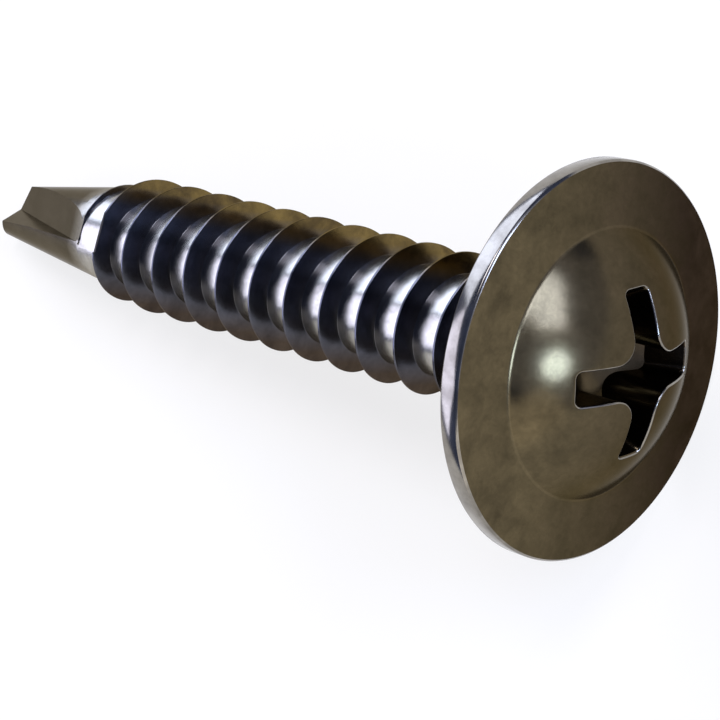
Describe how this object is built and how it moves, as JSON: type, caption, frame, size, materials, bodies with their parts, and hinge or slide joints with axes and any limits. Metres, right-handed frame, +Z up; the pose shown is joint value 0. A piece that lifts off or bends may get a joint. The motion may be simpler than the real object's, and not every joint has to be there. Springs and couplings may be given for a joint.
{
  "type": "self drilling screw",
  "caption": "Self drilling screw with a low domed flange head, a cross recess, a left-hand thread and a two-flute drill point, lying at rest.",
  "frame": {"origin": "centre of the head's bearing face, on the screw's axis", "axes": "+X level, from the drill point towards the head; +Z up from the surface that the screw lies on; the screw's axis falls 10.4 degrees towards the drill point"},
  "size_m": [0.027, 0.0106, 0.0106],
  "materials": {
    "steel": "dark hardened steel, semi-gloss, with a brown tarnish"
  },
  "bodies": {
    "root": {"screw": "steel"}
  },
  "joints": []
}
